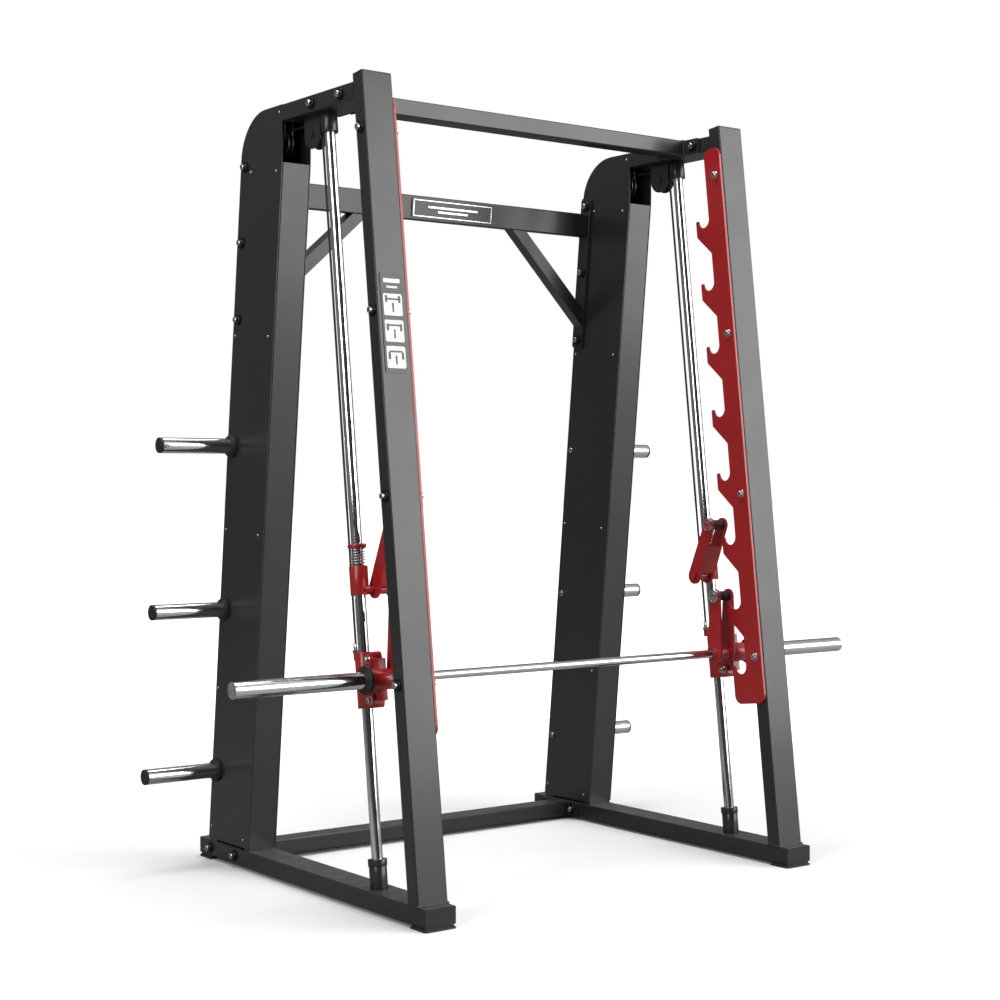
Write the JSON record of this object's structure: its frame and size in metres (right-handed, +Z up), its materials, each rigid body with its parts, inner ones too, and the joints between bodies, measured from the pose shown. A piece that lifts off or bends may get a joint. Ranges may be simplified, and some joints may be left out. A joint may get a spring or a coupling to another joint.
{
  "type": "smith machine",
  "caption": "Smith machine: leaning black frame with shrouded columns, chrome guide rods, red hook racks, guided bar with red hooks, sprung safety stops and plate storage pegs.",
  "frame": {"origin": "middle of the footprint, on the floor", "axes": "+Z up, -Y towards the lifter at the front, +X to the right-hand column seen from the front"},
  "size_m": [2.326, 1.288, 2.3633],
  "materials": {
    "black_frame": "glossy",
    "red_paint": "glossy",
    "chrome": "polished",
    "zinc": "satin",
    "rubber": "matte",
    "plastic": "satin",
    "bronze": "satin",
    "cable": "satin",
    "weight_steel": "rough",
    "sign": "satin",
    "pulley_nylon": "satin"
  },
  "bodies": {
    "frame": {"foot_rail_left": "black_frame", "foot_rail_right": "black_frame", "front_upright_left": "black_frame", "front_upright_right": "black_frame", "top_side_tube_left": "black_frame", "top_side_tube_right": "black_frame", "column_frame_left": "black_frame", "column_frame_right": "black_frame", "column_outer_cover_left": "black_frame", "column_outer_cover_right": "black_frame", "column_inner_cover_left": "black_frame", "column_inner_cover_right": "black_frame", "column_rear_cover_left": "black_frame", "column_rear_cover_right": "black_frame", "front_crossbar": "black_frame", "upper_rear_crossbar": "black_frame", "lower_rear_crossbar": "black_frame", "rod_sockets": "black_frame", "pulley_brackets": "black_frame", "frame_bolts": "zinc", "rack_bolts": "zinc", "cover_screws": "zinc", "foot_pads": "rubber", "peg_rubbers": "rubber", "tube_caps": "plastic", "guide_rod_left": "chrome", "guide_rod_right": "chrome", "plate_pegs": "chrome", "hook_rack_left": "red_paint", "hook_rack_right": "red_paint", "top_cables": "cable", "sign_plates": "sign"},
    "bar_carriage": {"carriage_left": "red_paint", "carriage_right": "red_paint", "carriage_bolts": "zinc", "carriage_bearings": "bronze", "front_cables": "cable"},
    "bar": {"bar_shaft": "chrome", "bar_rubbers": "rubber", "bar_hook_pins": "zinc", "bar_hook_left": "red_paint", "bar_hook_right": "red_paint"},
    "sleeve_left": {"sleeve_left": "chrome"},
    "counterweight_left": {"counterweight_left": "weight_steel", "weight_cable_left": "cable"},
    "front_pulley_left": {"front_pulley_left": "pulley_nylon"},
    "rear_pulley_left": {"rear_pulley_left": "pulley_nylon"},
    "stop_left": {"stop_collar_left": "red_paint", "stop_spring_left": "chrome"},
    "stop_arm_left": {"stop_arm_left": "red_paint"},
    "spring_ring_left": {"spring_ring_left": "red_paint"},
    "sleeve_right": {"sleeve_right": "chrome"},
    "counterweight_right": {"counterweight_right": "weight_steel", "weight_cable_right": "cable"},
    "front_pulley_right": {"front_pulley_right": "pulley_nylon"},
    "rear_pulley_right": {"rear_pulley_right": "pulley_nylon"},
    "stop_right": {"stop_collar_right": "red_paint", "stop_spring_right": "chrome"},
    "stop_arm_right": {"stop_arm_right": "red_paint"},
    "spring_ring_right": {"spring_ring_right": "red_paint"}
  },
  "joints": [
    {"name": "bar_lift", "type": "slide", "parent": "frame", "child": "bar_carriage", "axis": [0, 0.1198, 0.9928], "range_m": [-0.42, 0.088], "deforming": ["front_cables"]},
    {"name": "bar_turn", "type": "hinge", "parent": "bar_carriage", "child": "bar", "pos_m": [0, -0.35885, 0.65365], "axis": [1, 0, 0], "range_deg": [-8, 17]},
    {"name": "sleeve_spin_left", "type": "hinge", "parent": "bar", "child": "sleeve_left", "pos_m": [-0.95, -0.35885, 0.65365], "axis": [1, 0, 0], "continuous": true},
    {"name": "weight_slide_left", "type": "slide", "parent": "frame", "child": "counterweight_left", "axis": [0, -0.1024, 0.9947], "range_m": [-0.088, 0.42], "deforming": ["weight_cable_left"]},
    {"name": "front_pulley_turn_left", "type": "hinge", "parent": "frame", "child": "front_pulley_left", "pos_m": [-0.685, -0.00259, 2.233], "axis": [1, 0, 0], "continuous": true},
    {"name": "rear_pulley_turn_left", "type": "hinge", "parent": "frame", "child": "rear_pulley_left", "pos_m": [-0.685, 0.18383, 2.233], "axis": [1, 0, 0], "continuous": true},
    {"name": "stop_slide_left", "type": "slide", "parent": "frame", "child": "stop_left", "axis": [0, 0.1198, 0.9928], "range_m": [0, 1.05]},
    {"name": "stop_turn_left", "type": "hinge", "parent": "stop_left", "child": "stop_arm_left", "pos_m": [-0.685, -0.26315, 0.89996], "axis": [1, 0, 0], "range_deg": [-30, 21]},
    {"name": "ring_press_left", "type": "slide", "parent": "stop_left", "child": "spring_ring_left", "axis": [0, 0.1198, 0.9928], "range_m": [-0.02, 0], "stiffness_N_per_m": 1500, "deforming": ["stop_spring_left"]},
    {"name": "sleeve_spin_right", "type": "hinge", "parent": "bar", "child": "sleeve_right", "pos_m": [0.95, -0.35885, 0.65365], "axis": [1, 0, 0], "continuous": true},
    {"name": "weight_slide_right", "type": "slide", "parent": "frame", "child": "counterweight_right", "axis": [0, -0.1024, 0.9947], "range_m": [-0.088, 0.42], "deforming": ["weight_cable_right"]},
    {"name": "front_pulley_turn_right", "type": "hinge", "parent": "frame", "child": "front_pulley_right", "pos_m": [0.685, -0.00259, 2.233], "axis": [1, 0, 0], "continuous": true},
    {"name": "rear_pulley_turn_right", "type": "hinge", "parent": "frame", "child": "rear_pulley_right", "pos_m": [0.685, 0.18383, 2.233], "axis": [1, 0, 0], "continuous": true},
    {"name": "stop_slide_right", "type": "slide", "parent": "frame", "child": "stop_right", "axis": [0, 0.1198, 0.9928], "range_m": [0, 1.05]},
    {"name": "stop_turn_right", "type": "hinge", "parent": "stop_right", "child": "stop_arm_right", "pos_m": [0.685, -0.26315, 0.89996], "axis": [1, 0, 0], "range_deg": [-30, 21]},
    {"name": "ring_press_right", "type": "slide", "parent": "stop_right", "child": "spring_ring_right", "axis": [0, 0.1198, 0.9928], "range_m": [-0.02, 0], "stiffness_N_per_m": 1500, "deforming": ["stop_spring_right"]}
  ],
  "couplings": [
    {"joint": "weight_slide_left", "follows": "bar_lift", "ratio": -1},
    {"joint": "front_pulley_turn_left", "follows": "bar_lift", "rad_per_m": -29.412},
    {"joint": "rear_pulley_turn_left", "follows": "bar_lift", "rad_per_m": -29.412},
    {"joint": "weight_slide_right", "follows": "bar_lift", "ratio": -1},
    {"joint": "front_pulley_turn_right", "follows": "bar_lift", "rad_per_m": -29.412},
    {"joint": "rear_pulley_turn_right", "follows": "bar_lift", "rad_per_m": -29.412}
  ]
}
